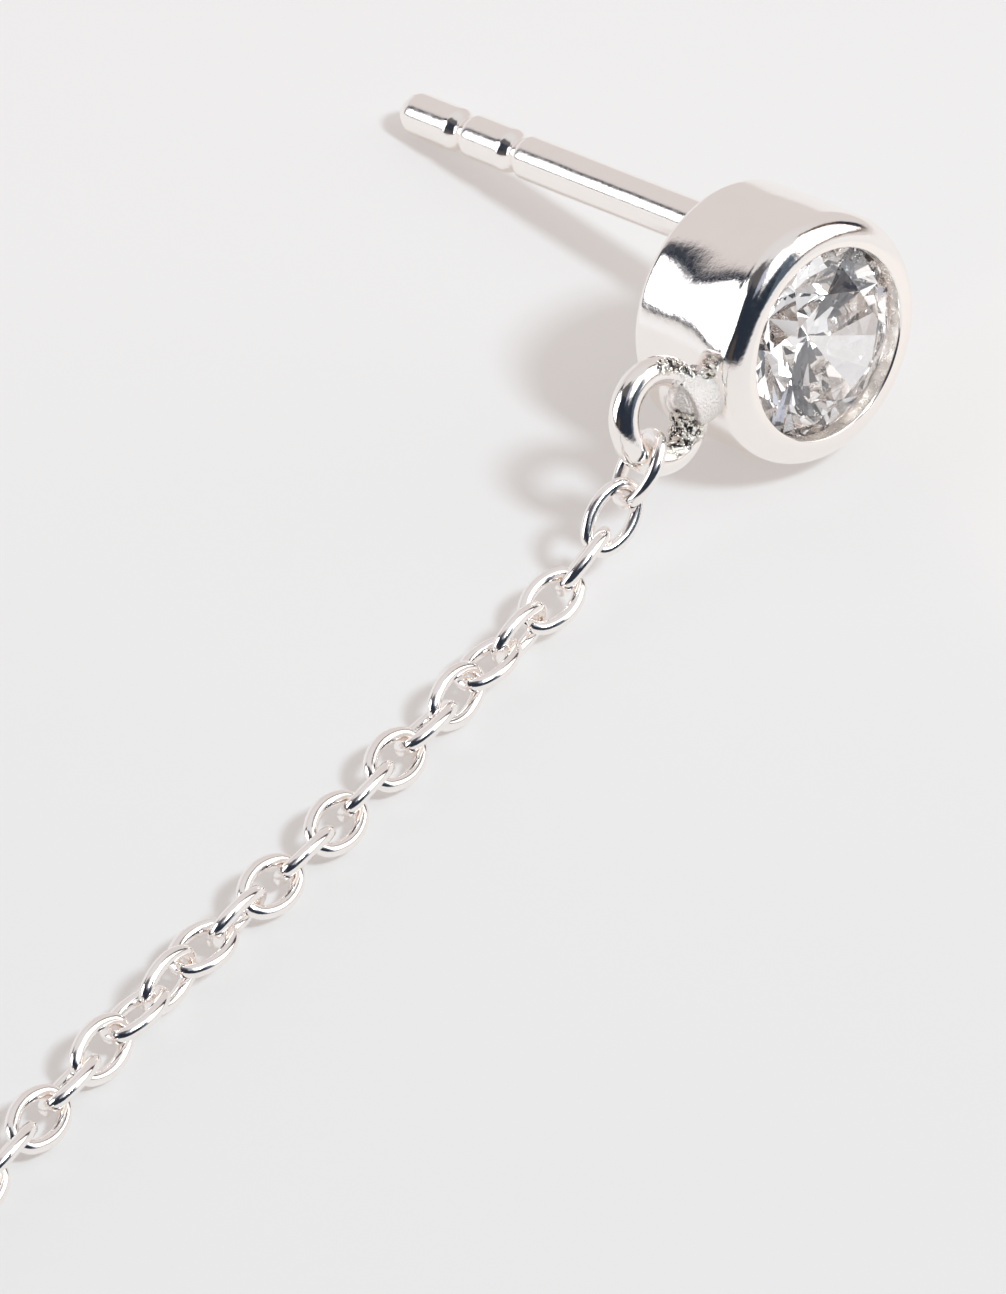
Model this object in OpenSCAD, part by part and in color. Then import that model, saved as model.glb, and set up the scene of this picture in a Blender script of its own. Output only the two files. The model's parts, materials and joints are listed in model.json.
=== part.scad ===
// Double stud earring: two bezel-set studs joined by a fine cable chain.
// Millimetres, +Z up. The whole earring lies on its resting surface, z = 0.
// The chain runs along X. The origin is under the middle of the box round it all.

/* [Bezel] */
// Outer diameter of each bezel
bezel_d = 5.0; // [4.6:0.1:6]
// Depth of each bezel from its back to its front rim
bezel_depth = 2.8; // [2.6:0.1:3.4]
// Rounding of the front rim
rim_round = 0.5; // [0.3:0.05:0.55]
// Rounding of the back edge
back_round = 0.15; // [0.05:0.05:0.3]
// Diameter of the opening that shows the stone
opening_d = 3.8; // [3.7:0.05:3.85]
// Diameter of the light hole in the back
light_hole_d = 2.6; // [1.6:0.1:2.8]

/* [Stone] */
// Girdle diameter of the round brilliant stone
stone_d = 4.0; // [3.9:0.05:4.05]
// Height of the table above the girdle
crown_h = 0.55; // [0.45:0.05:0.65]
// Depth of the pavilion below the girdle
pavilion_h = 1.7; // [1.5:0.05:1.75]
// How far the table stands above the rim
table_rise = 0.15; // [0:0.05:0.25]

/* [Post] */
// Diameter of the ear post
post_d = 0.9; // [0.7:0.05:1]
// Length of the post behind the bezel
post_len = 11; // [9:0.5:12]
// Distance of the post from the bezel's axis, away from the ring
post_offset = 1.8; // [1.4:0.1:1.9]

/* [Ring] */
// Diameter of the circle through the middle of the ring's wire
ring_d = 1.72; // [1.6:0.02:1.9]
// Diameter of the ring's wire
ring_wire_d = 0.58; // [0.5:0.02:0.62]
// Distance of the ring's middle from the bezel's axis
ring_reach = 3.62; // [3.6:0.01:3.7]
// Distance of the ring's middle from the bezel's back
ring_level = 1.83; // [1.6:0.01:1.95]
// Turn of the ring out of the bezel's plane, in degrees
ring_twist = 12; // [0:1:15]

/* [Chain] */
// Number of links
link_count = 38; // [30:2:40]
// Diameter of the link wire
link_wire_d = 0.27; // [0.2:0.01:0.28]
// Length of a link, from wire middle to wire middle
link_len = 1.39; // [1.37:0.01:1.41]
// Width of a link, from wire middle to wire middle
link_wid = 0.83; // [0.8:0.01:0.86]
// Width of the two end links, which hold the thicker ring wire
end_link_wid = 1.02; // [1:0.01:1.04]

/* [Lay] */
// Turn of each bezel's front away from the line across the chain, in degrees
stud_turn = 14; // [0:1:25]
// How far each ring sits below the level of its bezel's axis, in degrees
ring_drop = 1.6; // [0:0.1:4]

/* [Hidden] */
$fn = 48;

// Clear space between a stone and its seat, and between links that hold each other
seat_gap = 0.04;
link_gap = 0.06;
bezel_r = bezel_d / 2;
opening_r = opening_d / 2;
light_hole_r = light_hole_d / 2;
stone_r = stone_d / 2;
post_r = post_d / 2;
ring_r = ring_d / 2;
ring_wire_r = ring_wire_d / 2;
link_wire_r = link_wire_d / 2;

// Stone levels, measured from the bezel's back
table_level = bezel_depth + table_rise;
girdle_h = 0.08;
girdle_top = table_level - crown_h;
girdle_low = girdle_top - girdle_h;
culet_level = girdle_low - pavilion_h;

// Radii at which the table, the stars and the lower main facets have their corners
table_r = 0.58 * stone_r;
star_r = 0.79 * stone_r;
lower_r = 0.24 * stone_r;

// Seat that the stone sits in, with the gap all round it, and the pit below it
seat_r = stone_r + seat_gap;
seat_drop = 0.06;
seat_low = girdle_low - seat_drop;
pit_r = 0.8 * stone_r;
pit_floor = 0.42;

// How far a cutting shape runs past the surface that it cuts
cut_past = 1;

// Two grooves near the post's tip, which a clutch snaps onto
groove_r = 0.3;
groove_depth = 0.1;
groove_places = [1.75, 3.3];
tip_round = 0.85 * post_r;

// Neck from within the bezel's wall out to the ring
neck_r = 0.52;
neck_root = bezel_r - 0.3;
neck_out = 3.1;

// Solder beside the neck: [angle round the ring, distance from its middle, radius]
solder = [[188, 0.8, 0.38], [152, 0.72, 0.36], [124, 0.76, 0.34]];

// How each stud lies: on its rounded back edge and its post's rounded tip
lie_rise = bezel_r - back_round - post_r + tip_round + post_offset * sin(ring_drop);
lie_run = post_len - tip_round + back_round;
tilt = atan(lie_rise / lie_run) - asin((tip_round - back_round) / norm([lie_rise, lie_run]));
rest_z = (bezel_r - back_round) * cos(tilt) + back_round * (1 - sin(tilt));

// A direction or place in a stud's own frame, set down as the stud lies.
// There x points at the ring, z at the front, and the bezel's back is z = 0.
function turned_z(p, a) = [p.x * cos(a) - p.y * sin(a), p.x * sin(a) + p.y * cos(a), p.z];
function turned_y(p, a) = [p.x * cos(a) + p.z * sin(a), p.y, -p.x * sin(a) + p.z * cos(a)];
right_roll = ring_drop - 90;
right_yaw = -90 - stud_turn;
function laid(p) = turned_z(turned_y(turned_z(p, right_roll), 90 - tilt), right_yaw);

// Where the chain's first link holds the ring, as an angle round the ring
hold_angle = 42;
ring_middle = [ring_reach, 0, ring_level];
function turned_x(p, a) = [p.x, p.y * cos(a) - p.z * sin(a), p.y * sin(a) + p.z * cos(a)];
hold_local = ring_middle + ring_r * turned_x([cos(hold_angle), sin(hold_angle), 0], ring_twist);

// Reach of a stud to the front and back of its bezel's back centre, which
// sets the box round the whole earring evenly about y = 0
front_y = laid([0, 0, 1]).y;
across_y = sqrt(1 - front_y * front_y);
front_reach = rim_round + (bezel_r - rim_round) * across_y - (bezel_depth - rim_round) * front_y;
back_reach = tip_round + (post_r - tip_round) * across_y
    - laid([post_offset, 0, post_len - tip_round]).y;
stud_y = (front_reach - back_reach) / 2;
hold_y = stud_y + laid(hold_local).y;
hold_z = rest_z + laid(hold_local).z;

// Half of the turn that each long side of a link makes
side_half_turn = 30;
link_pitch = link_len - link_wire_d - link_gap;

// The links are numbered from the right. Joint k lies between links k and k + 1.
// Twist of the chain: [link, extra roll in degrees], beside a quarter turn a link
twist = [[1, 61], [5, 4], [6, -13], [9, -57], [13, -57], [16, -103], [20, -147], [30, -147],
         [34, -91], [38, -31]];
function link_roll(i) = 90 * i + lookup(i, twist);

// Sway of the chain to the sides: [joint, distance along Y]
sway = [[1, -0.22], [5, 0], [8, 0.02], [11, -0.09], [15, 0.06], [18, 0.09], [21, -0.1],
        [26, 0.08], [30, -0.05], [33, 0], [37, -0.22]];

// Height of the links' middles where the chain lies, from the way each is rolled
lie_gap = 0.012;
function lie_z(i) = lie_gap + link_wire_r
    + link_wid / 2 * max(abs(sin(link_roll(i))), abs(cos(link_roll(i))));

// Each end of the chain slopes down from its ring. The end link's slope is given,
// and the joints past it hang at these shares of the first joint's height.
end_slope = 44;
end_swing = 4;
hang_share = [1, 0.5, 0.18, 0];
hang_joints = len(hang_share);
end_dir = [-cos(end_slope) * cos(end_swing), cos(end_slope) * sin(end_swing), -sin(end_slope)];
end_shift = (link_len - link_wire_d) / 2 - ring_wire_r - link_gap;
end_reach = end_shift + link_pitch / 2;
lie_joint_z = (lie_z(hang_joints) + lie_z(hang_joints + 1)) / 2;
hang_height = hold_z + end_reach * end_dir.z - lie_joint_z;
chain_y = hold_y + end_reach * end_dir.y - lookup(1, sway);

// Joints, counted from the nearer end, and mirrored for the left half
function joint_y(k) = chain_y + lookup(k, sway);
function joint_z(k) = let (n = min(k, link_count - k)) n < hang_joints
    ? lie_joint_z + hang_height * hang_share[n - 1]
    : (lie_z(k) + lie_z(k + 1)) / 2;
function joint_step(k) = sqrt(pow(link_pitch, 2) - pow(joint_z(k) - joint_z(k + 1), 2)
    - pow(joint_y(k) - joint_y(k + 1), 2));
function right_joint_x(k) = k >= hang_joints ? link_pitch * (link_count / 2 - k)
    : right_joint_x(k + 1) + joint_step(k);
function joint_x(k) = k <= link_count / 2 ? right_joint_x(k) : -right_joint_x(link_count - k);
function joint(k) = [joint_x(k), joint_y(k), joint_z(k)];

// The end links run on from the first and last joints, against the rings
left_dir = [-end_dir.x, end_dir.y, end_dir.z];
hold_place = joint(1) - end_reach * end_dir;
right_place = [hold_place.x - laid(hold_local).x, stud_y, rest_z];
function link_dir(i) = i == 1 ? -end_dir : i == link_count ? left_dir
    : (joint(i - 1) - joint(i)) / norm(joint(i - 1) - joint(i));
function link_middle(i) = i == 1 ? joint(1) - link_pitch / 2 * end_dir
    : i == link_count ? joint(i - 1) - link_pitch / 2 * left_dir
    : (joint(i - 1) + joint(i)) / 2;
function link_name(i) = str("link_", i < 10 ? "0" : "", i);

module cup_outline() {
    square([bezel_r - rim_round, bezel_depth]);
    translate([0, back_round])
        square([bezel_r, bezel_depth - rim_round - back_round]);
    translate([bezel_r - rim_round, bezel_depth - rim_round])
        circle(rim_round);
    square([bezel_r - back_round, bezel_depth / 2]);
    translate([bezel_r - back_round, back_round])
        circle(back_round);
}

// Half section of the hollow: opening, seat under the lip, pit and light hole
module cup_hollow() {
    crown_slope = (kite_z(star_r) - girdle_top) / (stone_r - star_r);
    bearing_slope = pavilion_h / stone_r;
    polygon([
        [0, bezel_depth + cut_past],
        [opening_r, bezel_depth + cut_past],
        [opening_r, girdle_top + (stone_r - opening_r) * crown_slope + seat_gap],
        [seat_r, girdle_top + seat_gap],
        [seat_r, seat_low],
        [pit_r, seat_low - (seat_r - pit_r) * bearing_slope],
        [pit_r, pit_floor],
        [light_hole_r, pit_floor],
        [light_hole_r, -cut_past],
        [0, -cut_past]
    ]);
}

module cup() {
    rotate_extrude()
        difference() {
            cup_outline();
            cup_hollow();
        }
}

module post() {
    difference() {
        union() {
            translate([0, 0, tip_round - post_len])
                cylinder(r = post_r, h = post_len - tip_round + pit_floor / 2);
            translate([0, 0, -post_len])
                rotate_extrude() {
                    square([post_r - tip_round, tip_round]);
                    translate([post_r - tip_round, tip_round])
                        intersection() {
                            circle(tip_round);
                            translate([0, -tip_round])
                                square(tip_round);
                        }
                }
        }
        for (place = groove_places)
            translate([0, 0, place - post_len])
                rotate_extrude()
                    translate([post_r + groove_r - groove_depth, 0])
                        circle(groove_r);
    }
}

module ring() {
    translate(ring_middle)
        rotate([ring_twist, 0, 0])
            rotate_extrude()
                translate([ring_r, 0])
                    circle(ring_wire_r);
}

module neck() {
    translate([neck_root, 0, ring_level])
        rotate([0, 90, 0])
            cylinder(r = neck_r, h = neck_out - neck_root);
    translate(ring_middle)
        rotate([ring_twist, 0, 0])
            for (spot = solder)
                translate([spot[1] * cos(spot[0]), spot[1] * sin(spot[0]), 0])
                    sphere(spot[2]);
}

module stud_metal() {
    color("gainsboro")
        union() {
            cup();
            translate([-post_offset, 0, 0])
                post();
            ring();
            neck();
        }
}

// Round brilliant: a table, stars, kites and halves above the girdle,
// mains and halves below it, eight of each main facet.
function around(r, step, z) = [r * cos(22.5 * step), r * sin(22.5 * step), z];
function kite_z(r) = table_level - (r * cos(22.5) - table_r) * crown_h / (stone_r - table_r);
function main_z(r) = culet_level + r * cos(22.5) * pavilion_h / stone_r;

module stone() {
    points = concat(
        [for (i = [0:7]) around(table_r, 2 * i, table_level)],
        [for (i = [0:7]) around(star_r, 2 * i + 1, kite_z(star_r))],
        [for (i = [0:15]) around(stone_r, i, girdle_top)],
        [for (i = [0:15]) around(stone_r, i, girdle_low)],
        [for (i = [0:7]) around(lower_r, 2 * i + 1, main_z(lower_r))],
        [[0, 0, culet_level]]);
    star = 8;
    upper = 16;
    low = 32;
    mid = 48;
    culet = 56;
    faces = concat(
        [[for (i = [7:-1:0]) i]],
        [for (i = [0:7]) [i, (i + 1) % 8, star + i]],
        [for (i = [0:7]) [i, star + i, upper + 2 * i]],
        [for (i = [0:7]) [i, upper + 2 * i, star + (i + 7) % 8]],
        [for (i = [0:7]) [star + i, upper + 2 * i + 1, upper + 2 * i]],
        [for (i = [0:7]) [star + i, upper + (2 * i + 2) % 16, upper + 2 * i + 1]],
        [for (i = [0:15]) [upper + i, upper + (i + 1) % 16, low + (i + 1) % 16, low + i]],
        [for (i = [0:7]) [mid + i, low + 2 * i, low + 2 * i + 1]],
        [for (i = [0:7]) [mid + i, low + 2 * i + 1, low + (2 * i + 2) % 16]],
        [for (i = [0:7]) [mid + i, culet, low + 2 * i]],
        [for (i = [0:7]) [mid + (i + 7) % 8, low + 2 * i, culet]]);
    color("lavender")
        polyhedron(points, faces);
}

// Moves by v in two steps, whole hundredths first, so that neither is rounded
module moved(v) {
    coarse = [for (c = v) round(c * 100) / 100];
    translate(coarse)
        translate(v - coarse)
            children();
}

// An oval link round z, its length along x: two end arcs and two side arcs
module link(width) {
    centres = (link_len - width) / 2 / (sin(side_half_turn) + cos(side_half_turn) - 1);
    end_x = centres * sin(side_half_turn);
    side_y = centres * cos(side_half_turn);
    end_r = link_len / 2 - end_x;
    color("silver")
        union()
            for (turn = [0, 180])
                rotate([0, 0, turn]) {
                    moved([end_x, 0, 0])
                        rotate_extrude(start = side_half_turn - 90, angle = 180 - 2 * side_half_turn)
                            moved([end_r, 0, 0])
                                circle(link_wire_r, $fn = 24);
                    moved([0, -side_y, 0])
                        rotate_extrude(start = 90 - side_half_turn, angle = 2 * side_half_turn)
                            moved([end_r + centres, 0, 0])
                                circle(link_wire_r, $fn = 24);
                }
}

module laid_right() {
    translate(right_place)
        rotate([0, 90 - tilt, right_yaw])
            rotate([0, 0, right_roll])
                children();
}

module laid_left() {
    mirror([1, 0, 0])
        laid_right()
            children();
}

module placed_link(i) {
    along = link_dir(i);
    width = i == 1 || i == link_count ? end_link_wid : link_wid;
    translate(link_middle(i))
        rotate([link_roll(i), -asin(along.z), atan2(along.y, along.x)])
            link(width);
}

laid_right() stud_metal();  // stud_metal_right
laid_left() stud_metal();  // stud_metal_left
laid_right() stone();  // stone_right
laid_left() stone();  // stone_left
for (i = [1:link_count])
    placed_link(i);
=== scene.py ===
"""Looks of the double stud earring: polished silver, soldered rings, clear cut stones.

Pieces are worked out in millimetres in a stud's own frame, where x points at the ring,
z at the front of the bezel and z = 0 is the bezel's back. They are then set down in
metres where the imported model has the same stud. The left stud mirrors the right one.
"""
import json
import math

import bmesh
import bpy
import numpy as np
from mathutils import Matrix, Vector, noise

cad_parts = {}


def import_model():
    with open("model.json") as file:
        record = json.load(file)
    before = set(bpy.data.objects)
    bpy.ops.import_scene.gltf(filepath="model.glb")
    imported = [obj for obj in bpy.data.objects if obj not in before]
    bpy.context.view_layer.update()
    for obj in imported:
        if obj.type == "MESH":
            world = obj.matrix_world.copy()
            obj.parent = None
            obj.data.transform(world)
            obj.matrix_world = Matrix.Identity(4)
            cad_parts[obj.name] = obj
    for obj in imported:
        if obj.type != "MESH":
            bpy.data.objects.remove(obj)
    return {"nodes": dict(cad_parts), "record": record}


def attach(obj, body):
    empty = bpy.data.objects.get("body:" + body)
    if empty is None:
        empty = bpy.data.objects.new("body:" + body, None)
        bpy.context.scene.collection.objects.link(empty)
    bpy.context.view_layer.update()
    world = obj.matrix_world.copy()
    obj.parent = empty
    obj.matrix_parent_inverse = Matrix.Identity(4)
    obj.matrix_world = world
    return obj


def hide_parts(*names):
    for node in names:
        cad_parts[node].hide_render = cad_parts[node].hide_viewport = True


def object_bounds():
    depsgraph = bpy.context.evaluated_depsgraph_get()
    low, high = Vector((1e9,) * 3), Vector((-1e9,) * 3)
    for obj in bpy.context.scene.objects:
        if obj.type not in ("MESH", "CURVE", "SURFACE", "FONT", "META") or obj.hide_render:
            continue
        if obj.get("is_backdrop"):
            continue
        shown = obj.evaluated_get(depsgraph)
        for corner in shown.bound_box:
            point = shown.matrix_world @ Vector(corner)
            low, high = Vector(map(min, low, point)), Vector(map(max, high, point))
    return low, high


MM = 0.001

# Outside of the bezel, in millimetres
BEZEL_R = 2.5
BEZEL_DEPTH = 2.8
RIM_ROUND = 0.5
BACK_ROUND = 0.15
OPENING_R = 1.9
LIP_ROUND = 0.05

# Stone, in millimetres above the bezel's back. Its crown's slope is that of the outer facets.
STONE_R = 2.0
TABLE_RISE = 0.15
CROWN_H = 0.55
CROWN_SLOPE = 0.84
GIRDLE_H = 0.08
PAVILION_H = 1.7
GIRDLE_TOP = BEZEL_DEPTH + TABLE_RISE - CROWN_H
GIRDLE_LOW = GIRDLE_TOP - GIRDLE_H
CULET_LEVEL = GIRDLE_LOW - PAVILION_H

# Hollow of the bezel round the stone, in millimetres
SEAT_GAP = 0.04
SEAT_DROP = 0.06
SEAT_R = STONE_R + SEAT_GAP
SEAT_TOP = GIRDLE_TOP + SEAT_GAP
SEAT_LOW = GIRDLE_LOW - SEAT_DROP
LIP_UNDER = SEAT_TOP + (STONE_R - OPENING_R) * CROWN_SLOPE
PIT_R = 0.8 * STONE_R
PIT_TOP = SEAT_LOW - (SEAT_R - PIT_R) * PAVILION_H / STONE_R
PIT_FLOOR = 0.42
LIGHT_HOLE_R = 1.3

# Post, in millimetres
POST_R = 0.45
POST_LEN = 11.0
POST_OFFSET = 1.8
TIP_ROUND = 0.85 * POST_R
GROOVE_HALF = 0.28
GROOVE_DEPTH = 0.1
GROOVE_PLACES = (1.75, 3.3)

# Ring, in millimetres and degrees
RING_R = 0.86
RING_WIRE_R = 0.29
RING_REACH = 3.62
RING_LEVEL = 1.83
RING_TWIST = 12
RING_TURN = Matrix.Rotation(math.radians(RING_TWIST), 3, "X")
RING_MIDDLE = Vector((RING_REACH, 0, RING_LEVEL))

# Neck from the bezel to the ring, and the web of solder round it, in millimetres
NECK_R = 0.56
NECK_SIDE = 0.06
NECK_START = 2.2
NECK_END = 3.1
WEB_MIDDLE = (2.86, 0.07, 1.86)
WEB_RADII = (0.42, 0.58, 0.50)

# Solder lumps: (angle round the ring in degrees, distance from its middle, radius)
SOLDER = (
    (188, 0.80, 0.38),
    (152, 0.72, 0.36),
    (124, 0.76, 0.34),
)

# Where the solder is rough and pitted, with painted shade in its pits, and where it is plain and
# matt: ((x, y, z), radius)
ZONES = {
    "pitted": (
        ((3.34, 0.38, 2.05), 0.42),
        ((3.62, 0.62, 2.15), 0.20),
        ((3.02, 0.50, 2.20), 0.16),
        ((3.32, -0.98, 1.90), 0.20),
        ((3.08, -0.88, 1.88), 0.20),
        ((2.86, -0.72, 1.86), 0.18),
        ((2.70, -0.56, 1.90), 0.18),
        ((2.52, -0.50, 2.10), 0.18),
    ),
    "matt": (
        ((2.85, 0.02, 2.20), 0.72),
        ((3.00, 0.50, 1.90), 0.40),
    ),
}

# Ragged edge of those places: how far it strays and how wide it fades, as shares of a
# place's radius, and the length over which it strays, in millimetres
ZONE_STRAY = 0.3
ZONE_FADE = 0.3
ZONE_WAVE = 0.12

# Lumps of the pitted solder, (height, length), and how deep it all lies, in millimetres
LUMPS = (
    (0.030, 0.14),
    (0.024, 0.05),
)
LUMPS_SUNK = 0.025

# Where the bezel's wall was filed a little flat or left proud:
# (turn in degrees, level, half turn, half height, height)
DENTS = (
    (-38, 2.45, 10, 0.38, -0.080),
    (-28, 2.50, 8, 0.30, -0.030),
    (-58, 0.00, 10, 0.33, 0.012),
    (-56, 1.40, 8, 0.60, -0.038),
)

# Unevenness of the polished metal: how far a point moves and over what length, in
# millimetres, and the seed that makes it the same in each run
CUP_UNEVEN = (0.007, 0.9)
SEAT_UNEVEN = (0.010, 0.9)
POST_UNEVEN = (0.003, 0.8)
UNEVEN_SEED = 2

# Links: half of the turn that each long side makes, in degrees
SIDE_HALF_TURN = 30

# Fineness of the stud's turned parts: steps along the profile in millimetres, and sides
CUP_STEP = 0.06
SEAT_STEP = 0.1
CUP_SIDES = 256
POST_STEP = 0.08
POST_SIDES = 64

# Steps along the rounds of a profile: small edges, the rim, the post's tip and a groove
EDGE_STEPS = 8
RIM_STEPS = 24
TIP_STEPS = 14
GROOVE_STEPS = 20

# Fineness of the ring and its solder before they are fused
RING_SIDES = 24
RING_STEPS = 96
NECK_SIDES = 64
WEB_SPLITS = 4
LUMP_SPLITS = 3

# Fused skin: its voxel in millimetres, and the rounds and the share of its smoothing
FUSED_VOXEL = 0.022
SMOOTHING_ROUNDS = 10
SMOOTHING_SHARE = 0.5

# Up to this far from the wire's true surface the skin is drawn right onto it, and up to
# twice as far less and less, in millimetres
ON_WIRE = 0.015

# Fineness of the links
LINK_SIDES = 20
LINK_ARC_STEPS = 18

# Edges that turn by more than this, in degrees, are shaded sharp
SHARP_TURN = 40

# Numbers of a stud's materials
POLISHED = 0
SEAT = 1
SATIN = 2

# View that the photograph shows, with sizes of the photograph in its own pixels
PHOTO_H = 1294
FOCAL_PX = 10000
SENSOR_MM = 24.0
VIEW_AZIMUTH = 57.775
VIEW_ELEVATION = 39.35
CAMERA_FROM_STUD = (-131.055, -77.538, 116.305)
CLIP_START = 0.005
CLIP_END = 20.0


def heading(azimuth, elevation):
    """Unit vector towards an azimuth, clockwise from +Y, and an elevation, in degrees."""
    a = math.radians(azimuth)
    e = math.radians(elevation)
    return Vector((math.sin(a) * math.cos(e), math.cos(a) * math.cos(e), math.sin(e)))


def held(value):
    """The value, kept from 0 to 1."""
    return min(1.0, max(0.0, value))


def link_names(frame):
    """The chain's links in order, from the right-hand end."""
    return sorted(name for name in frame["nodes"] if name.startswith("link_"))


def node_points(name):
    """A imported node's points, in metres."""
    mesh = bpy.data.objects[name].data
    points = np.empty(len(mesh.vertices) * 3)
    mesh.vertices.foreach_get("co", points)
    return points.reshape(-1, 3)


def stud_frame(frame):
    """The right stud's directions as rows (x, y, z) and its back centre, in metres."""
    mounts = {mount["name"]: mount for mount in frame["record"]["mounts"]}
    post = mounts["post_right"]
    front = -np.array(post["axis"])
    front /= np.linalg.norm(front)
    stone = node_points("stone_right")
    culet = stone[np.argmin(stone @ front)]
    back = culet - CULET_LEVEL * MM * front
    out = back - np.array(post["pos_m"])
    out -= (out @ front) * front
    out /= np.linalg.norm(out)
    return np.array([out, np.cross(front, out), front]), back


def share_near(p, places):
    """How far a point lies within the named places, from 0 outside them to 1."""
    nearest = min((p - Vector(middle)).length / radius for middle, radius in places)
    ragged = nearest + ZONE_STRAY * noise.noise(p / ZONE_WAVE)
    return held((1.0 - ragged) / ZONE_FADE)


class Parts:
    """Collects the points and faces of one piece, each face with its material's number."""

    def __init__(self):
        self.points = []
        self.faces = []
        self.slots = []
        self.shares = {key: [] for key in ZONES}

    def add(self, points, faces, slot, solder=False):
        """Adds a closed or open form. Only solder takes a share of the pitted and matt places."""
        first = len(self.points)
        self.points.extend(tuple(p) for p in points)
        for key, places in ZONES.items():
            self.shares[key] += [share_near(Vector(p), places) if solder else 0.0 for p in points]
        self.faces.extend(tuple(first + i for i in face) for face in faces)
        self.slots.extend([slot] * len(faces))

    def settle(self, place, mirrored):
        """Turns the points from a stud's millimetres to metres where the stud lies."""
        rows, back = place
        points = np.array(self.points) @ rows * MM + back
        if mirrored:
            points[:, 0] *= -1
            self.faces = [face[::-1] for face in self.faces]
        self.points = [tuple(p) for p in points]

    def mesh(self, name, materials):
        """A smooth mesh of what was collected."""
        mesh = bpy.data.meshes.new(name)
        mesh.from_pydata(self.points, [], self.faces)
        for material in materials:
            mesh.materials.append(material)
        mesh.polygons.foreach_set("material_index", self.slots)
        if any(self.shares["matt"]):
            for key, values in self.shares.items():
                mesh.attributes.new(key, "FLOAT", "POINT").data.foreach_set("value", values)
        mesh.update()
        mesh.shade_smooth()
        return mesh


def add_piece(mesh, slot, *nodes):
    """Shows a mesh as a piece of the earring in place of the named nodes."""
    piece = bpy.data.objects.new(mesh.name, mesh)
    bpy.context.scene.collection.objects.link(piece)
    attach(piece, "root")
    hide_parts(*nodes)
    return piece


def arc(centre, radius, start, end, steps):
    """Points (r, z) along an arc, its angles in degrees from the r axis."""
    angles = np.radians(np.linspace(start, end, steps + 1))
    return [(centre[0] + radius * math.cos(a), centre[1] + radius * math.sin(a)) for a in angles]


def finely(profile, step):
    """The profile with its long straight stretches cut into even ones."""
    points = [profile[0]]
    for start, end in zip(profile, profile[1:]):
        parts = max(1, round(math.dist(start, end) / step))
        points += [tuple(np.array(start) + (np.array(end) - np.array(start)) * i / parts)
                   for i in range(1, parts + 1)]
    return points


def lathe(profile, sides, middle=(0, 0)):
    """Turns a profile (r, z) round z. An end at r = 0 closes in one point."""
    points = []
    rings = []
    for r, z in profile:
        if r == 0:
            rings.append([len(points)] * sides)
            points.append((middle[0], middle[1], z))
            continue
        rings.append(list(range(len(points), len(points) + sides)))
        angles = np.arange(sides) * 2 * math.pi / sides
        points += [(middle[0] + r * math.cos(a), middle[1] + r * math.sin(a), z) for a in angles]
    faces = []
    for low, high in zip(rings, rings[1:]):
        for i in range(sides):
            j = (i + 1) % sides
            face = (low[i], low[j], high[j], high[i])
            faces.append(tuple(dict.fromkeys(face)))
    return points, faces


def roughened(points, size, wave):
    """Points moved by smooth noise: size and wave length in millimetres."""
    moved = []
    for p in points:
        place = Vector(p) / wave
        moved.append(tuple(Vector(p) + size * noise.noise_vector(place)))
    return moved


def dented(points):
    """Points of the bezel's wall moved out or in by its dents, which end at the rim."""
    moved = []
    for x, y, z in points:
        turn = math.degrees(math.atan2(y, x))
        height = 0
        for middle, level, half_turn, half_height, depth in DENTS:
            away = ((turn - middle) / half_turn) ** 2 + ((z - level) / half_height) ** 2
            height += depth * math.exp(-away / 2)
        wall = held((BEZEL_DEPTH - z) / RIM_ROUND)
        stretch = 1 + height * wall / BEZEL_R
        moved.append((x * stretch, y * stretch, z))
    return moved


def cup_profile():
    """The bezel from its back to its lip, and from there through its hollow to the back."""
    outside = [(LIGHT_HOLE_R, 0)]
    outside += arc((BEZEL_R - BACK_ROUND, BACK_ROUND), BACK_ROUND, -90, 0, EDGE_STEPS)
    outside += arc((BEZEL_R - RIM_ROUND, BEZEL_DEPTH - RIM_ROUND), RIM_ROUND, 0, 90, RIM_STEPS)
    outside += arc((OPENING_R + LIP_ROUND, BEZEL_DEPTH - LIP_ROUND), LIP_ROUND, 90, 180,
                   EDGE_STEPS)
    hollow = [
        outside[-1],
        (OPENING_R, LIP_UNDER),
        (SEAT_R, SEAT_TOP),
        (SEAT_R, SEAT_LOW),
        (PIT_R, PIT_TOP),
        (PIT_R, PIT_FLOOR),
        (LIGHT_HOLE_R, PIT_FLOOR),
        (LIGHT_HOLE_R, 0),
    ]
    return outside, hollow


def add_cup(parts):
    """The bezel: its polished outside, and its duller hollow behind the stone."""
    outside, hollow = cup_profile()
    points, faces = lathe(finely(outside, CUP_STEP), CUP_SIDES)
    parts.add(roughened(dented(points), *CUP_UNEVEN), faces, POLISHED)
    points, faces = lathe(finely(hollow, SEAT_STEP), CUP_SIDES)
    parts.add(roughened(points, *SEAT_UNEVEN), faces, SEAT)


def post_profile():
    """The post from its tip to inside the bezel's back, with its two grooves."""
    tip_middle = (POST_R - TIP_ROUND, TIP_ROUND - POST_LEN)
    profile = [(0, -POST_LEN)] + arc(tip_middle, TIP_ROUND, -90, 0, TIP_STEPS)
    for place in GROOVE_PLACES:
        for i in range(GROOVE_STEPS + 1):
            share = 2 * i / GROOVE_STEPS - 1
            dip = GROOVE_DEPTH * (1 + math.cos(math.pi * share)) / 2
            profile.append((POST_R - dip, place - POST_LEN + share * GROOVE_HALF))
    return profile + [(POST_R, PIT_FLOOR / 2)]


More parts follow.
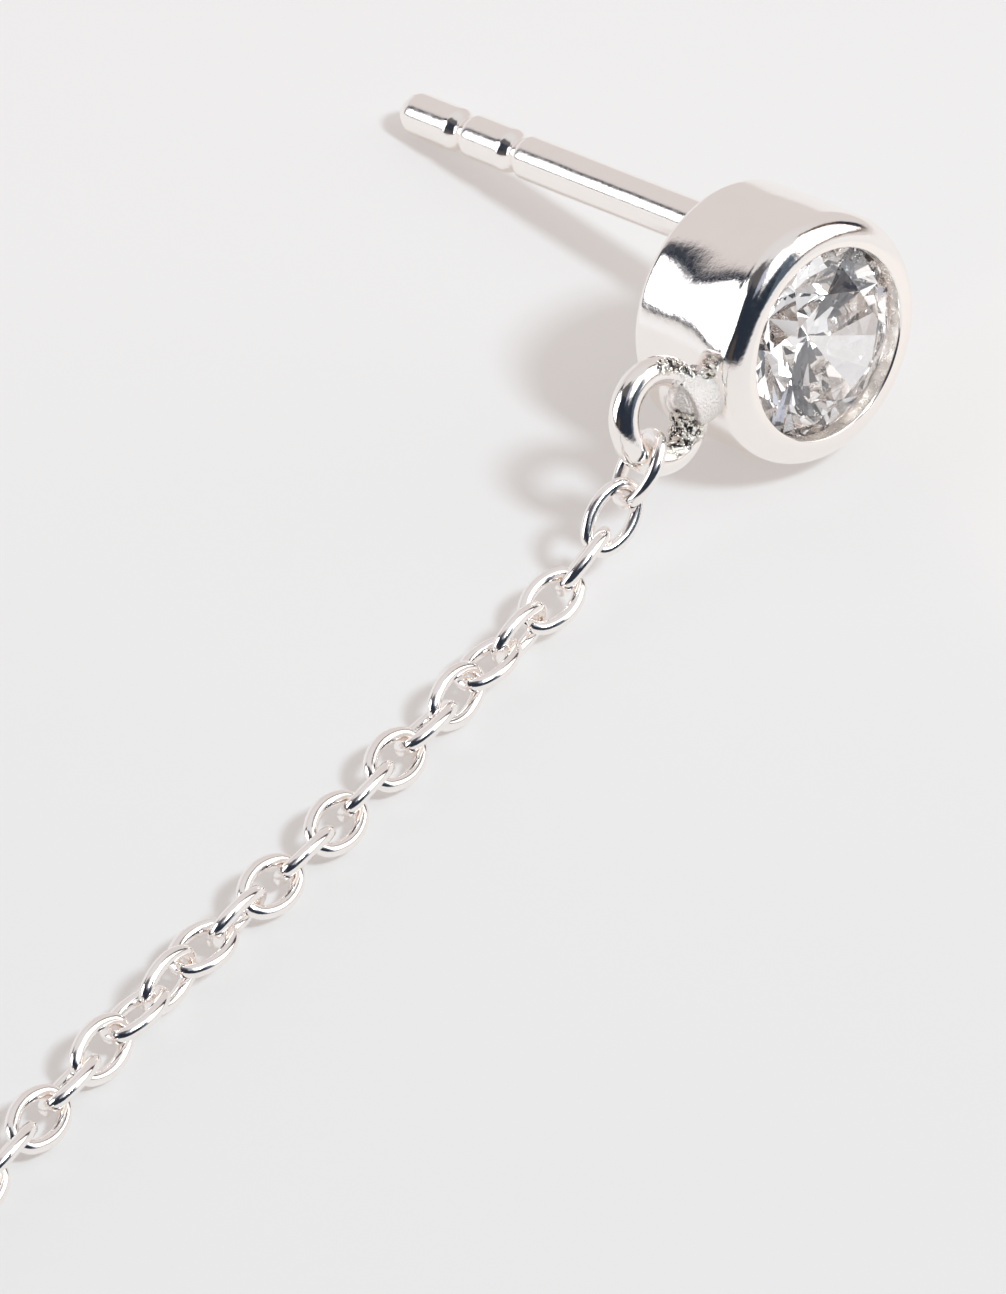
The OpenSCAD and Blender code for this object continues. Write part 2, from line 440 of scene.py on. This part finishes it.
def add_post(parts):
    """The ear post, on the side of the back that is away from the ring."""
    points, faces = lathe(finely(post_profile(), POST_STEP), POST_SIDES, (-POST_OFFSET, 0))
    parts.add(roughened(points, *POST_UNEVEN), faces, SATIN)


def by_ring(angle, reach, level=0.0):
    """A place given by its angle round the ring, and its distance from its middle and plane."""
    a = math.radians(angle)
    return RING_MIDDLE + RING_TURN @ Vector((reach * math.cos(a), reach * math.sin(a), level))


def add_wire(work):
    """The ring's round wire, as a closed mesh."""
    rows = []
    for i in range(RING_STEPS):
        row = []
        for j in range(RING_SIDES):
            b = 2 * math.pi * j / RING_SIDES
            reach = RING_R + RING_WIRE_R * math.cos(b)
            place = by_ring(360 * i / RING_STEPS, reach, RING_WIRE_R * math.sin(b))
            row.append(work.verts.new(place))
        rows.append(row)
    for i in range(RING_STEPS):
        for j in range(RING_SIDES):
            k = (j + 1) % RING_SIDES
            work.faces.new((rows[i][j], rows[i - 1][j], rows[i - 1][k], rows[i][k]))


def ring_solid():
    """The ring, its neck, the web and the solder lumps, as overlapping closed meshes."""
    work = bmesh.new()
    add_wire(work)
    length = NECK_END - NECK_START
    place = Matrix.Translation((NECK_START + length / 2, NECK_SIDE, RING_LEVEL))
    place @= Matrix.Rotation(math.pi / 2, 4, "Y")
    bmesh.ops.create_cone(work, cap_ends=True, segments=NECK_SIDES, radius1=NECK_R,
                          radius2=NECK_R, depth=length, matrix=place)
    web = Matrix.Translation(WEB_MIDDLE) @ Matrix.Diagonal(WEB_RADII + (1,))
    bmesh.ops.create_icosphere(work, subdivisions=WEB_SPLITS, radius=1, matrix=web)
    for angle, reach, radius in SOLDER:
        bmesh.ops.create_icosphere(work, subdivisions=LUMP_SPLITS, radius=radius,
                                   matrix=Matrix.Translation(by_ring(angle, reach)))
    bmesh.ops.recalc_face_normals(work, faces=work.faces)
    mesh = bpy.data.meshes.new("ring_work")
    work.to_mesh(mesh)
    work.free()
    return mesh


def fused(mesh):
    """One closed skin round overlapping meshes, its inner corners smoothed to fillets."""
    piece = bpy.data.objects.new("fused_work", mesh)
    bpy.context.scene.collection.objects.link(piece)
    remesh = piece.modifiers.new("remesh", "REMESH")
    remesh.mode = "VOXEL"
    remesh.voxel_size = FUSED_VOXEL
    smooth = piece.modifiers.new("smooth", "SMOOTH")
    smooth.factor = SMOOTHING_SHARE
    smooth.iterations = SMOOTHING_ROUNDS
    shown = piece.evaluated_get(bpy.context.evaluated_depsgraph_get())
    result = bpy.data.meshes.new_from_object(shown)
    bpy.data.objects.remove(piece)
    bpy.data.meshes.remove(mesh)
    return result


def on_wire(p):
    """Draws a point that lies close to the wire's true surface onto it."""
    local = RING_TURN.transposed() @ (p - RING_MIDDLE)
    core = Vector((local.x, local.y, 0)).normalized() * RING_R
    out = local - core
    off = out.length - RING_WIRE_R
    pull = held(2 - abs(off) / ON_WIRE)
    return RING_MIDDLE + RING_TURN @ (core + out * (1 - pull * off / out.length))


def add_ring(parts):
    """The ring, soldered on, its skin lumpy where the solder is pitted."""
    mesh = fused(ring_solid())
    points = []
    for vertex in mesh.vertices:
        p = on_wire(vertex.co)
        lump = sum(height * noise.noise(p / length) for height, length in LUMPS) - LUMPS_SUNK
        points.append(p + vertex.normal * (lump * share_near(p, ZONES["pitted"])))
    parts.add(points, [tuple(face.vertices) for face in mesh.polygons], POLISHED, solder=True)
    bpy.data.meshes.remove(mesh)


def make_stud(side, place, materials):
    """One stud's metal, as one piece."""
    parts = Parts()
    add_cup(parts)
    add_post(parts)
    add_ring(parts)
    parts.settle(place, side == "left")
    mesh = parts.mesh("stud_silver_" + side, materials)
    mesh.set_sharp_from_angle(angle=math.radians(SHARP_TURN))
    return add_piece(mesh, "silver", "stud_metal_" + side)


def oval(length, width):
    """Middle line of a link in its own plane, from two end arcs and two side arcs.

    Each point has its place and the direction straight out of the oval there.
    """
    half = math.radians(SIDE_HALF_TURN)
    centres = (length - width) / 2 / (math.sin(half) + math.cos(half) - 1)
    end_x = centres * math.sin(half)
    side_y = centres * math.cos(half)
    end_r = length / 2 - end_x
    side_r = end_r + centres
    end_turn = 180 - 2 * SIDE_HALF_TURN
    side_turn = 2 * SIDE_HALF_TURN
    arcs = (
        (end_x, 0, end_r, SIDE_HALF_TURN - 90, end_turn),
        (0, -side_y, side_r, 90 - SIDE_HALF_TURN, side_turn),
        (-end_x, 0, end_r, 90 + SIDE_HALF_TURN, end_turn),
        (0, side_y, side_r, 270 - SIDE_HALF_TURN, side_turn),
    )
    line = []
    for x, y, r, start, turn in arcs:
        for i in range(LINK_ARC_STEPS):
            a = math.radians(start + turn * i / LINK_ARC_STEPS)
            line.append((x + r * math.cos(a), y + r * math.sin(a), math.cos(a), math.sin(a)))
    return line


def link_frame(points):
    """Middle in metres, axes (length, width, thickness) and size in millimetres of a link."""
    axes = np.linalg.eigh(np.cov(points.T))[1].T[::-1]
    if np.linalg.det(axes) < 0:
        axes[2] = -axes[2]
    along = points @ axes.T
    middle = (along.min(axis=0) + along.max(axis=0)) / 2 @ axes
    return middle, axes, np.ptp(along, axis=0) / MM


def make_link(name, material):
    """One link of round wire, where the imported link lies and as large."""
    middle, (long, wide, thick), (length, width, wire) = link_frame(node_points(name))
    line = oval(length - wire, width - wire)
    parts = Parts()
    for x, y, out_x, out_y in line:
        for j in range(LINK_SIDES):
            b = 2 * math.pi * j / LINK_SIDES
            out = wire / 2 * math.cos(b)
            local = ((x + out * out_x) * long + (y + out * out_y) * wide
                     + wire / 2 * math.sin(b) * thick)
            parts.points.append(tuple(middle + local * MM))
    for i in range(len(line)):
        here = i * LINK_SIDES
        there = (i + 1) % len(line) * LINK_SIDES
        for j in range(LINK_SIDES):
            n = (j + 1) % LINK_SIDES
            parts.faces.append((here + j, there + j, there + n, here + n))
    parts.slots = [0] * len(parts.faces)
    mesh = parts.mesh("silver_" + name, [material])
    return add_piece(mesh, "silver", name)


class Nodes:
    """Adds and joins the nodes of one material or world."""

    # Sockets of a Mix node for colours
    MIX_FIRST = 6
    MIX_SECOND = 7
    MIX_RESULT = 2

    def __init__(self, tree):
        self.tree = tree
        tree.nodes.clear()

    def new(self, kind, **values):
        """A new node with its properties set."""
        node = self.tree.nodes.new(kind)
        for key, value in values.items():
            setattr(node, key, value)
        return node

    def join(self, source, target):
        """Links an output to an input."""
        self.tree.links.new(source, target)

    def fill(self, target, value):
        """Joins a socket to an input, or sets the input to a number or a colour."""
        if isinstance(value, bpy.types.NodeSocket):
            self.join(value, target)
        elif isinstance(value, tuple):
            target.default_value = value + (1.0,)
        else:
            target.default_value = value

    def set(self, node, **values):
        """Sets inputs by name, with _ for a space."""
        for key, value in values.items():
            node.inputs[key.replace("_", " ")].default_value = value

    def noise(self, place, scale, detail, roughness):
        """Noise from 0 to 1, mostly near its middle."""
        node = self.new("ShaderNodeTexNoise")
        self.set(node, Scale=scale, Detail=detail, Roughness=roughness)
        self.join(place, node.inputs["Vector"])
        return node.outputs["Fac"]

    def mapped(self, value, low, high, to_low, to_high, smooth=False):
        """The value moved from one range to another, and kept inside it."""
        node = self.new("ShaderNodeMapRange")
        if smooth:
            node.interpolation_type = "SMOOTHSTEP"
        self.set(node, From_Min=low, From_Max=high, To_Min=to_low, To_Max=to_high)
        self.join(value, node.inputs["Value"])
        return node.outputs["Result"]

    def maths(self, operation, first, second=0.0):
        """What an operation makes of one or two values, each a socket or a number."""
        node = self.new("ShaderNodeMath", operation=operation)
        self.fill(node.inputs[0], first)
        self.fill(node.inputs[1], second)
        return node.outputs[0]

    def mixed(self, share, first, second):
        """A blend of two colours, each a socket or a plain colour."""
        node = self.new("ShaderNodeMix", data_type="RGBA")
        self.join(share, node.inputs["Factor"])
        self.fill(node.inputs[self.MIX_FIRST], first)
        self.fill(node.inputs[self.MIX_SECOND], second)
        return node.outputs[self.MIX_RESULT]

    def millimetres(self, stretch=(1, 1, 1)):
        """Object coordinates in millimetres, each axis stretched."""
        place = self.new("ShaderNodeTexCoord")
        scale = self.new("ShaderNodeMapping")
        scale.inputs["Scale"].default_value = [s / MM for s in stretch]
        self.join(place.outputs["Object"], scale.inputs["Vector"])
        return scale.outputs["Vector"]


def new_material(name):
    """A material with a principled shader, its nodes and that shader."""
    material = bpy.data.materials.new(name)
    material.use_nodes = True
    nodes = Nodes(material.node_tree)
    shader = nodes.new("ShaderNodeBsdfPrincipled")
    output = nodes.new("ShaderNodeOutputMaterial")
    nodes.join(shader.outputs["BSDF"], output.inputs["Surface"])
    return material, nodes, shader


def times(colour, factor):
    """A colour made darker or lighter by a factor."""
    return tuple(c * factor for c in colour)


# Silver's finishes: colour, roughness, heights of its waves and its grain in
# millimetres, and the roughness that its scratches add
FINISHES = {
    "silver_polished": ((1.0, 0.955, 0.92), 0.10, 0.0019, 0.0009, 0.08),
    "silver_seat": ((1.0, 0.93, 0.87), 0.30, 0.0020, 0.0020, 0.05),
    "silver_satin": ((1.0, 0.955, 0.92), 0.15, 0.0012, 0.0004, 0.04),
    "silver_wire": ((1.0, 0.96, 0.93), 0.12, 0.0015, 0.0008, 0.10),
}

# Noise in the silver: (waves a millimetre, detail, roughness)
TONE_NOISE = (1.6, 2.0, 0.5)
POLISH_NOISE = (9.0, 3.0, 0.5)
SCRATCH_NOISE = (30.0, 2.0, 0.5)
WAVE_NOISE = (7.0, 2.0, 0.5)
GRAIN_NOISE = (26.0, 3.0, 0.6)
BEAD_NOISE = (20.0, 2.0, 0.5)
PIT_SHADE_NOISE = (7.0, 5.0, 0.75)

# Scratches are drawn out along Z
SCRATCH_STRETCH = (1, 1, 0.08)

# Parts of a noise's range: most of it, its peaks, and the narrow edge between the painted shade
# of the pits and the metal
NOISE_MOST = (0.3, 0.7)
NOISE_PEAKS = (0.6, 0.8)
PIT_SHADE_EDGE = (0.49, 0.53)

# How much darker the silver gets in places, and how its roughness varies
TONE_LEAST = 0.985
POLISH_LEAST = 0.7
POLISH_MOST = 1.3

# Solder: colours where it is rough, of the painted shade in its pits, and where it is matt;
# heights of its beads in millimetres
SOLDER_COLOUR = (0.88, 0.81, 0.74)
# Painted shade: the near-black of the solder's pits
PIT_SHADE_COLOUR = (0.040, 0.034, 0.034)
MATT_COLOUR = (0.79, 0.725, 0.69)
SOLDER_BEADS = 0.05
MATT_BEADS = 0.05
MATT_ROUGHNESS = 0.75


def silver_tone(nodes, place, colour, pitted, matt):
    """Silver's colour, a little darker in places, the solder's own where there is some, and
    painted shade in the solder's pits.
    """
    shade = nodes.mapped(nodes.noise(place, *TONE_NOISE), *NOISE_MOST, 0, 1)
    tone = nodes.mixed(shade, colour, times(colour, TONE_LEAST))
    tone = nodes.mixed(matt, tone, MATT_COLOUR)
    tone = nodes.mixed(pitted, tone, SOLDER_COLOUR)
    # Painted shade: the pits of the pitted solder turn near black
    pit_shade = nodes.mapped(nodes.noise(place, *PIT_SHADE_NOISE), *PIT_SHADE_EDGE, 0, 1)
    return nodes.mixed(nodes.maths("MULTIPLY", pit_shade, pitted), tone, PIT_SHADE_COLOUR)


def silver_roughness(nodes, place, roughness, scratches, matt):
    """Roughness that varies a little, more in the scratches and most on matt solder."""
    polish = nodes.mapped(nodes.noise(place, *POLISH_NOISE), *NOISE_MOST,
                          roughness * POLISH_LEAST, roughness * POLISH_MOST)
    lines = nodes.noise(nodes.millimetres(SCRATCH_STRETCH), *SCRATCH_NOISE)
    shine = nodes.maths("ADD", polish, nodes.mapped(lines, *NOISE_PEAKS, 0, scratches))
    return nodes.maths("ADD", shine, nodes.maths("MULTIPLY", matt, MATT_ROUGHNESS))


def silver_height(nodes, place, waviness, grain, pitted, matt):
    """Height of the fine relief in millimetres: waves, grain, and beads on the solder."""
    waves = nodes.maths("MULTIPLY", nodes.noise(place, *WAVE_NOISE), waviness)
    grit = nodes.maths("MULTIPLY", nodes.noise(place, *GRAIN_NOISE), grain)
    rough = nodes.maths("ADD", nodes.maths("MULTIPLY", pitted, SOLDER_BEADS),
                        nodes.maths("MULTIPLY", matt, MATT_BEADS))
    beads = nodes.maths("MULTIPLY", nodes.noise(place, *BEAD_NOISE), rough)
    return nodes.maths("ADD", nodes.maths("ADD", waves, grit), beads)


def silver(name, colour, roughness, waviness, grain, scratches):
    """One of silver's finishes, with the solder's own look in its pitted and matt places and
    painted shade in its pits.
    """
    material, nodes, shader = new_material(name)
    nodes.set(shader, Metallic=1.0)
    place = nodes.millimetres()
    pitted, matt = [nodes.new("ShaderNodeAttribute", attribute_name=key).outputs["Fac"]
                    for key in ZONES]
    nodes.join(silver_tone(nodes, place, colour, pitted, matt), shader.inputs["Base Color"])
    nodes.join(silver_roughness(nodes, place, roughness, scratches, matt),
               shader.inputs["Roughness"])
    bump = nodes.new("ShaderNodeBump")
    nodes.set(bump, Strength=1.0, Distance=MM)
    nodes.join(silver_height(nodes, place, waviness, grain, pitted, matt), bump.inputs["Height"])
    nodes.join(bump.outputs["Normal"], shader.inputs["Normal"])
    return material


# Stone: how strongly it bends light, its trace of a tint, and the noise that spreads it
STONE_IOR = 2.17
STONE_TINT = (0.985, 0.98, 1.0)
CLEAR = (1.0, 1.0, 1.0)
STONE_NOISE = (0.8, 2.0, 0.5)
STONE_NOISE_MOST = (0.35, 0.65)


def clear_stone():
    """Clear cut stone: bends light strongly, with a trace of a tint from place to place."""
    material, nodes, shader = new_material("clear_stone")
    nodes.set(shader, IOR=STONE_IOR, Roughness=0.0, Transmission_Weight=1.0)
    place = nodes.millimetres()
    share = nodes.mapped(nodes.noise(place, *STONE_NOISE), *STONE_NOISE_MOST, 0, 1)
    nodes.join(nodes.mixed(share, STONE_TINT, CLEAR), shader.inputs["Base Color"])
    return material


# Floor: half its side in metres, what it sends back of the light from above, how much
# lighter it gets in places and their noise, and the painted glow of its emission, which
# stands in for fill light
FLOOR_HALF = 2.0
FLOOR_ROUGHNESS = 0.8
FLOOR_COLOUR = (0.30, 0.30, 0.30)
FLOOR_MOST = 1.03
FLOOR_NOISE = (0.06, 2.0, 0.5)
# Painted glow in the floor's emission, standing in for fill light
FLOOR_PAINTED_GLOW = (0.460, 0.418, 0.396)

# Painted pools of light on the floor, a warm one before the right stud and a cool one beside it:
# (azimuth and distance from the stud, where it starts to fade, where it ends, glow)
PAINTED_POOLS = (
    (155, 12.0, 3.5, 10.0, (0.550, 0.485, 0.450)),
    (-38, 36.0, 14.0, 22.0, (0.530, 0.505, 0.510)),
)

# Painted shade on the floor: its glow darkens towards the camera, from this far behind the stud
# to this far before it
PAINTED_SHADE_SPAN = (14.0, -28.0)
PAINTED_SHADE_LEAST = 0.87


def painted_floor_glow(nodes, place, stud):
    """The floor's painted glow, standing in for fill light, with its painted pools of light and
    its painted shade towards the camera.
    """
    # Painted glow: the floor emits light that stands in for fill light
    painted_glow = FLOOR_PAINTED_GLOW
    # Painted pools of light, mixed into the floor's glow
    for azimuth, distance, fading, end, pool_glow in PAINTED_POOLS:
        pool = Vector(stud) / MM + heading(azimuth, 0) * distance
        away = nodes.new("ShaderNodeVectorMath", operation="DISTANCE")
        away.inputs[1].default_value = (pool.x, pool.y, 0)
        nodes.join(place, away.inputs[0])
        near = nodes.mapped(away.outputs["Value"], end, fading, 0, 1, True)
        painted_glow = nodes.mixed(near, painted_glow, pool_glow)
    # Painted shade: the floor's glow darkens towards the camera
    view = heading(VIEW_AZIMUTH, 0)
    along = nodes.new("ShaderNodeVectorMath", operation="DOT_PRODUCT")
    along.inputs[1].default_value = view
    nodes.join(place, along.inputs[0])
    start, end = [view @ Vector(stud) / MM + distance for distance in PAINTED_SHADE_SPAN]
    painted_fall = nodes.mapped(along.outputs["Value"], start, end, 1, PAINTED_SHADE_LEAST, True)
    scaled = nodes.new("ShaderNodeVectorMath", operation="SCALE")
    nodes.join(painted_glow, scaled.inputs[0])
    nodes.join(painted_fall, scaled.inputs["Scale"])
    return scaled.outputs["Vector"]


def pale_floor(stud):
    """A pale acrylic sheet with a painted glow in its emission, standing in for fill light, so
    that shadows on it stay light.
    """
    material, nodes, shader = new_material("pale_floor")
    nodes.set(shader, Roughness=FLOOR_ROUGHNESS, Specular_IOR_Level=0.0, Emission_Strength=1.0)
    place = nodes.millimetres()
    # The emission is a painted glow that stands in for fill light and keeps shadows light
    nodes.join(painted_floor_glow(nodes, place, stud), shader.inputs["Emission Color"])
    tone = nodes.mixed(nodes.noise(place, *FLOOR_NOISE), FLOOR_COLOUR,
                       times(FLOOR_COLOUR, FLOOR_MOST))
    nodes.join(tone, shader.inputs["Base Color"])
    return material


def make_floor(stud):
    """The surface that the earring lies on."""
    corners = [(-1, -1), (1, -1), (1, 1), (-1, 1)]
    mesh = bpy.data.meshes.new("floor")
    mesh.from_pydata([(x * FLOOR_HALF, y * FLOOR_HALF, 0) for x, y in corners], [],
                     [(0, 1, 2, 3)])
    mesh.materials.append(pale_floor(stud))
    floor = bpy.data.objects.new("floor", mesh)
    bpy.context.scene.collection.objects.link(floor)
    floor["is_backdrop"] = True


# Colours of the studio's panels and lamps
DARK = (0.022, 0.030, 0.046)
DIM = (0.09, 0.12, 0.16)
BROWN = (0.075, 0.062, 0.055)
UMBER = (0.11, 0.075, 0.055)
GREY = (0.11, 0.105, 0.11)
BLUE = (0.45, 0.48, 0.58)
PALE = (0.80, 0.79, 0.81)
LAMP = (2.6, 2.6, 2.7)
SOFT_LAMP = (1.5, 1.46, 1.44)

# Panels round the object, in degrees, each drawn over those before it:
# (azimuth, elevation, half width, half height, lean, soft edge, colour)
STUDIO = (
    (14, 8, 22, 9, 0, 10, PALE),
    (-95, 62, 66, 14, 0, 10, GREY),
    (-104, 30, 42, 25, 0, 6, DARK),
    (-150, 20, 32, 16, 0, 6, DARK),
    (-135, 62, 14, 8, 0, 8, BLUE),
    (-84, 14, 7, 6, 0, 5, BROWN),
    (174, 20, 8, 18, 0, 5, DIM),
    (113, 36, 5, 26, 0, 2, UMBER),
    (112, 18, 5, 10, 0, 2, DARK),
    (138, 7, 27, 1.6, 0, 1, UMBER),
    (143, 36, 23, 26, 0, 2, SOFT_LAMP),
    (168, 62, 14, 12, 0, 5, SOFT_LAMP),
    (-166, 62, 15, 13, 0, 5, SOFT_LAMP),
    (-42, 24, 20, 23, 0.05, 2, DARK),
    (-31, 19, 17, 21, 0.37, 7, DARK),
    (-40, 1.6, 22, 2.2, 0, 0.8, DARK),
    (-42, 24.5, 16, 20, 0.05, 1, LAMP),
    (-31, 19, 10.3, 14.5, 0.37, 0.7, LAMP),
)

# The studio behind them: its walls, its top, and the heights, as sines, where one
# turns into the other
STUDIO_WALL = (0.70, 0.656, 0.650)
STUDIO_TOP = (0.73, 0.725, 0.735)
WALL_TO_TOP = (0.55, 0.95)


def studio():
    """Light from all round: pale walls, soft lamps, and the dark side behind the camera."""
    world = bpy.data.worlds.new("studio")
    bpy.context.scene.world = world
    world.use_nodes = True
    nodes = Nodes(world.node_tree)
    direction = nodes.new("ShaderNodeTexCoord").outputs["Generated"]
    split = nodes.new("ShaderNodeSeparateXYZ")
    nodes.join(direction, split.inputs[0])
    x, y, z = split.outputs
    azimuth = nodes.maths("DEGREES", nodes.maths("ARCTAN2", x, y))
    elevation = nodes.maths("DEGREES", nodes.maths("ARCSINE", z))

    def within(offset, half, soft):
        """1 up to half of a panel's size from its middle, then fading over its soft edge."""
        return nodes.mapped(nodes.maths("ABSOLUTE", offset), half + soft, half, 0, 1, True)

    colour = nodes.mixed(nodes.mapped(z, *WALL_TO_TOP, 0, 1, True), STUDIO_WALL, STUDIO_TOP)
    for middle, level, half_width, half_height, lean, soft, patch in STUDIO:
        rise = nodes.maths("SUBTRACT", elevation, level)
        slant = nodes.maths("MULTIPLY", rise, lean)
        aside = nodes.maths("SUBTRACT", nodes.maths("SUBTRACT", azimuth, middle), slant)
        across = within(aside, half_width, soft)
        along = within(rise, half_height, soft)
        colour = nodes.mixed(nodes.maths("MULTIPLY", across, along), colour, patch)
    background = nodes.new("ShaderNodeBackground")
    nodes.join(colour, background.inputs["Color"])
    output = nodes.new("ShaderNodeOutputWorld")
    nodes.join(background.outputs["Background"], output.inputs["Surface"])


# Main lamp: where it stands, how far and how wide in metres, how strong, its colour
KEY_AZIMUTH = -172
KEY_ELEVATION = 51
KEY_DISTANCE = 0.6
KEY_SIZE = 0.11
KEY_WATTS = 3.9
KEY_COLOUR = (0.79, 0.93, 1.0)


def key_light(target):
    """The main lamp, a round one that faces the right stud."""
    lamp = bpy.data.lights.new("key", "AREA")
    lamp.shape = "DISK"
    lamp.size = KEY_SIZE
    lamp.energy = KEY_WATTS
    lamp.color = KEY_COLOUR
    holder = bpy.data.objects.new("key", lamp)
    towards = heading(KEY_AZIMUTH, KEY_ELEVATION)
    holder.location = Vector(target) + towards * KEY_DISTANCE
    holder.rotation_euler = towards.to_track_quat("Z", "Y").to_euler()
    bpy.context.scene.collection.objects.link(holder)


def make_camera(back):
    """The photograph's own view, level across and looking down at the right stud."""
    camera = bpy.data.cameras.new("camera")
    camera.sensor_fit = "VERTICAL"
    camera.sensor_height = SENSOR_MM
    camera.lens = FOCAL_PX / PHOTO_H * SENSOR_MM
    camera.clip_start = CLIP_START
    camera.clip_end = CLIP_END
    holder = bpy.data.objects.new("camera", camera)
    view = heading(VIEW_AZIMUTH, -VIEW_ELEVATION)
    holder.location = Vector(back) + Vector(CAMERA_FROM_STUD) * MM
    holder.rotation_euler = (-view).to_track_quat("Z", "Y").to_euler()
    bpy.context.scene.collection.objects.link(holder)
    bpy.context.scene.camera = holder


# How often light may bounce in all, and off metal or through a stone
MOST_BOUNCES = 24
CLEAR_BOUNCES = 20


def let_light_bounce():
    """Enough bounces for light to find its way through the stones and out again."""
    cycles = bpy.context.scene.cycles
    cycles.max_bounces = MOST_BOUNCES
    cycles.glossy_bounces = CLEAR_BOUNCES
    cycles.transmission_bounces = CLEAR_BOUNCES


def main():
    """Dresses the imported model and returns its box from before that."""
    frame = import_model()
    cad_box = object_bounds()
    noise.seed_set(UNEVEN_SEED)
    place = stud_frame(frame)
    polished, seat, satin, wire = [silver(name, *finish) for name, finish in FINISHES.items()]
    stone = clear_stone()
    for side in ("right", "left"):
        make_stud(side, place, [polished, seat, satin])
        node = bpy.data.objects["stone_" + side]
        node.data.materials.clear()
        node.data.materials.append(stone)
    for name in link_names(frame):
        make_link(name, wire)
    stud = place[1]
    make_floor(stud)
    studio()
    key_light(stud)
    make_camera(stud)
    bpy.context.scene.view_settings.view_transform = "Standard"
    let_light_bounce()
    return cad_box


CAD_BOX = main()
